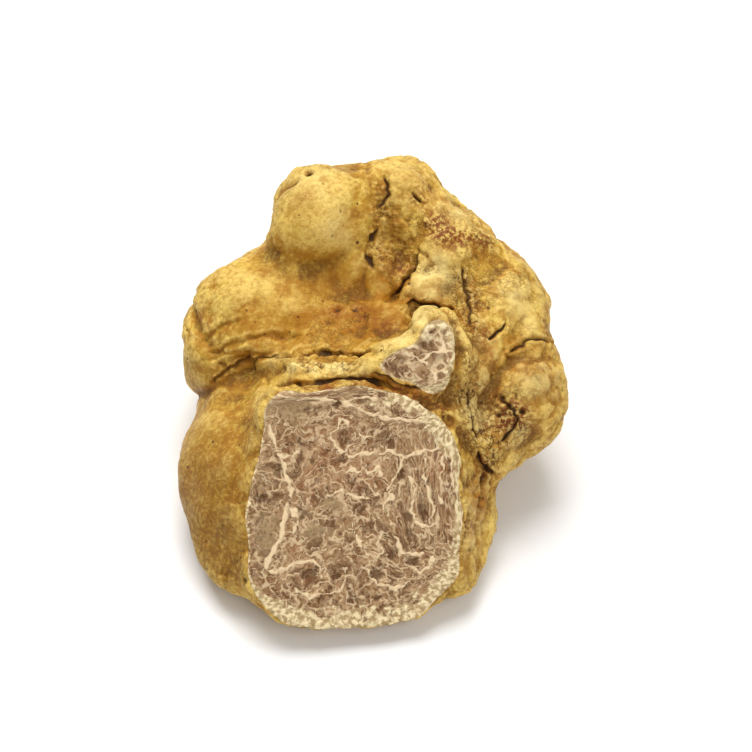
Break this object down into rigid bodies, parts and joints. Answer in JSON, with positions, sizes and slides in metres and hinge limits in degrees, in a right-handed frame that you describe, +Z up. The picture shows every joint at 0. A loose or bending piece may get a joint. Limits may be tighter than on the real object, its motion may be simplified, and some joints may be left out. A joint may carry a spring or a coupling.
{
  "type": "white truffle",
  "caption": "Lumpy pale ochre truffle, one solid body of lobes and creases, with a slanting knife cut that shows its marbled flesh.",
  "frame": {"origin": "middle of the truffle's bounding box, on the surface that it rests on", "axes": "+Z up from the rest, +Y from the shaved front side to the back, which is the longest way, +X to the right seen from the front"},
  "size_m": [0.0492, 0.0568, 0.0334],
  "materials": {
    "truffle": "matt, slightly leathery ochre skin; the cut is moist greige flesh with cream veins"
  },
  "bodies": {
    "root": {"truffle": "truffle"}
  },
  "joints": []
}
